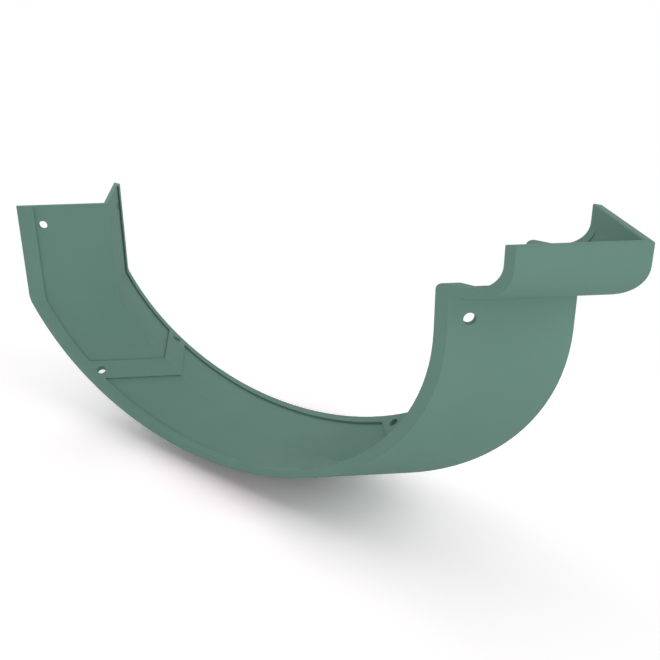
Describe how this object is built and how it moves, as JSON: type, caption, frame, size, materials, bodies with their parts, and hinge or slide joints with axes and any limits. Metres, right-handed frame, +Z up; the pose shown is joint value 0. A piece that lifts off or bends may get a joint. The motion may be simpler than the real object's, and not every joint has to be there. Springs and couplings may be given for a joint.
{
  "type": "external gutter corner",
  "caption": "Right-angled external gutter corner union: flat-backed half-round trough with a beaded front lip, mitre-parallel ends, sealant channel and rivet holes.",
  "frame": {"origin": "on the building's outer corner line, at the top edge of the two flat back walls", "axes": "+Z up; one leg runs along X with its back facing +Y, the other along Y with its back facing -X; the trough lies towards +X and -Y"},
  "size_m": [0.1832, 0.1832, 0.1003],
  "materials": {
    "powder_coat": "satin grey-green powder coat"
  },
  "bodies": {
    "root": {"gutter_corner": "powder_coat"}
  },
  "joints": []
}
